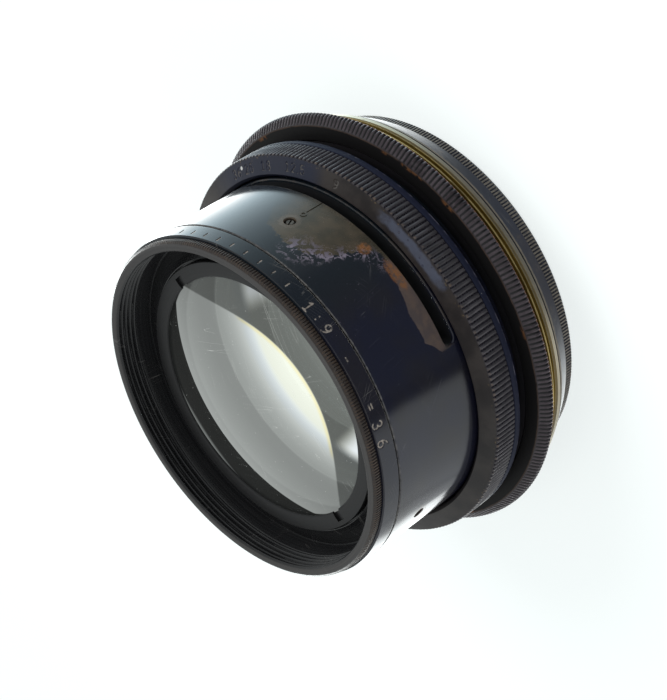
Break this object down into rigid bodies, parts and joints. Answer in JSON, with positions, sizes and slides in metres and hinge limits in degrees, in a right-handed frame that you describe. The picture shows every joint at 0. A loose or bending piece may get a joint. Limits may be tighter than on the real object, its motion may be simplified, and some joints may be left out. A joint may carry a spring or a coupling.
{
  "type": "barrel lens",
  "caption": "Large-format barrel lens: black-lacquered brass barrel, knurled aperture ring driving a bladed iris, stop slot, knurled shoulder ring and bare brass mounting thread.",
  "frame": {"origin": "centre of the rear rim on the optical axis, in the plane that the lens stands on", "axes": "+Z along the optical axis towards the front of the lens, +Y towards the index mark on the barrel, +X to the right for a viewer looking into the front"},
  "size_m": [0.0848, 0.0848, 0.05],
  "materials": {
    "black_lacquer": "glossy blue-black lacquer over brass, worn through to brown and olive at the edges",
    "satin_black": "satin black",
    "matt_black": "matt anti-reflection black",
    "worn_knurl": "dark lacquered knurl, rubbed to reddish brown brass on its crests",
    "bare_brass": "bare turned brass thread, aged olive gold",
    "iris_steel": "blackened spring steel",
    "screw_steel": "blued steel, worn",
    "optical_glass": "polished uncoated optical glass"
  },
  "bodies": {
    "lens_barrel": {"main_barrel": "black_lacquer", "front_cell": "black_lacquer", "rear_cell": "black_lacquer", "front_retaining_ring": "satin_black", "rear_retaining_ring": "satin_black", "spacer_ring": "matt_black", "second_retaining_ring": "matt_black", "iris_base_plate": "matt_black", "iris_retaining_ring": "matt_black", "shoulder_ring": "worn_knurl", "mount_thread_sleeve": "bare_brass", "front_element": "optical_glass", "second_element": "optical_glass", "rear_negative_element": "optical_glass", "rear_positive_element": "optical_glass", "barrel_lock_screw_1": "screw_steel", "barrel_lock_screw_2": "screw_steel"},
    "aperture_control": {"aperture_ring": "black_lacquer", "iris_cam_ring": "matt_black", "iris_drive_screw": "screw_steel"},
    "iris_blade_01_body": {"iris_blade_01": "iris_steel"},
    "iris_blade_02_body": {"iris_blade_02": "iris_steel"},
    "iris_blade_03_body": {"iris_blade_03": "iris_steel"},
    "iris_blade_04_body": {"iris_blade_04": "iris_steel"},
    "iris_blade_05_body": {"iris_blade_05": "iris_steel"},
    "iris_blade_06_body": {"iris_blade_06": "iris_steel"},
    "iris_blade_07_body": {"iris_blade_07": "iris_steel"},
    "iris_blade_08_body": {"iris_blade_08": "iris_steel"},
    "iris_blade_09_body": {"iris_blade_09": "iris_steel"},
    "iris_blade_10_body": {"iris_blade_10": "iris_steel"},
    "iris_blade_11_body": {"iris_blade_11": "iris_steel"},
    "iris_blade_12_body": {"iris_blade_12": "iris_steel"}
  },
  "joints": [
    {"name": "aperture_ring_turn", "type": "hinge", "parent": "lens_barrel", "child": "aperture_control", "pos_m": [0, 0, 0.0221], "axis": [0, 0, -1], "range_deg": [0, 42.6]},
    {"name": "iris_blade_01_swing", "type": "hinge", "parent": "lens_barrel", "child": "iris_blade_01_body", "pos_m": [0.0177, -0.02108, 0.01996], "axis": [-0.042, 0.06, 0.9973], "range_deg": [0, 32.05]},
    {"name": "iris_blade_02_swing", "type": "hinge", "parent": "lens_barrel", "child": "iris_blade_02_body", "pos_m": [0.02587, -0.00941, 0.01996], "axis": [-0.0664, 0.031, 0.9973], "range_deg": [0, 32.05]},
    {"name": "iris_blade_03_swing", "type": "hinge", "parent": "lens_barrel", "child": "iris_blade_03_body", "pos_m": [0.02711, 0.00479, 0.01996], "axis": [-0.073, -0.0064, 0.9973], "range_deg": [0, 32.05]},
    {"name": "iris_blade_04_swing", "type": "hinge", "parent": "lens_barrel", "child": "iris_blade_04_body", "pos_m": [0.02108, 0.0177, 0.01996], "axis": [-0.06, -0.042, 0.9973], "range_deg": [0, 32.05]},
    {"name": "iris_blade_05_swing", "type": "hinge", "parent": "lens_barrel", "child": "iris_blade_05_body", "pos_m": [0.00941, 0.02587, 0.01996], "axis": [-0.031, -0.0664, 0.9973], "range_deg": [0, 32.05]},
    {"name": "iris_blade_06_swing", "type": "hinge", "parent": "lens_barrel", "child": "iris_blade_06_body", "pos_m": [-0.00479, 0.02711, 0.01996], "axis": [0.0064, -0.073, 0.9973], "range_deg": [0, 32.05]},
    {"name": "iris_blade_07_swing", "type": "hinge", "parent": "lens_barrel", "child": "iris_blade_07_body", "pos_m": [-0.0177, 0.02108, 0.01996], "axis": [0.042, -0.06, 0.9973], "range_deg": [0, 32.05]},
    {"name": "iris_blade_08_swing", "type": "hinge", "parent": "lens_barrel", "child": "iris_blade_08_body", "pos_m": [-0.02587, 0.00941, 0.01996], "axis": [0.0664, -0.031, 0.9973], "range_deg": [0, 32.05]},
    {"name": "iris_blade_09_swing", "type": "hinge", "parent": "lens_barrel", "child": "iris_blade_09_body", "pos_m": [-0.02711, -0.00479, 0.01996], "axis": [0.073, 0.0064, 0.9973], "range_deg": [0, 32.05]},
    {"name": "iris_blade_10_swing", "type": "hinge", "parent": "lens_barrel", "child": "iris_blade_10_body", "pos_m": [-0.02108, -0.0177, 0.01996], "axis": [0.06, 0.042, 0.9973], "range_deg": [0, 32.05]},
    {"name": "iris_blade_11_swing", "type": "hinge", "parent": "lens_barrel", "child": "iris_blade_11_body", "pos_m": [-0.00941, -0.02587, 0.01996], "axis": [0.031, 0.0664, 0.9973], "range_deg": [0, 32.05]},
    {"name": "iris_blade_12_swing", "type": "hinge", "parent": "lens_barrel", "child": "iris_blade_12_body", "pos_m": [0.00479, -0.02711, 0.01996], "axis": [-0.0064, 0.073, 0.9973], "range_deg": [0, 32.05]}
  ],
  "couplings": [
    {"joint": "iris_blade_01_swing", "follows": "aperture_ring_turn", "ratio": 0.75117},
    {"joint": "iris_blade_02_swing", "follows": "aperture_ring_turn", "ratio": 0.75117},
    {"joint": "iris_blade_03_swing", "follows": "aperture_ring_turn", "ratio": 0.75117},
    {"joint": "iris_blade_04_swing", "follows": "aperture_ring_turn", "ratio": 0.75117},
    {"joint": "iris_blade_05_swing", "follows": "aperture_ring_turn", "ratio": 0.75117},
    {"joint": "iris_blade_06_swing", "follows": "aperture_ring_turn", "ratio": 0.75117},
    {"joint": "iris_blade_07_swing", "follows": "aperture_ring_turn", "ratio": 0.75117},
    {"joint": "iris_blade_08_swing", "follows": "aperture_ring_turn", "ratio": 0.75117},
    {"joint": "iris_blade_09_swing", "follows": "aperture_ring_turn", "ratio": 0.75117},
    {"joint": "iris_blade_10_swing", "follows": "aperture_ring_turn", "ratio": 0.75117},
    {"joint": "iris_blade_11_swing", "follows": "aperture_ring_turn", "ratio": 0.75117},
    {"joint": "iris_blade_12_swing", "follows": "aperture_ring_turn", "ratio": 0.75117}
  ]
}
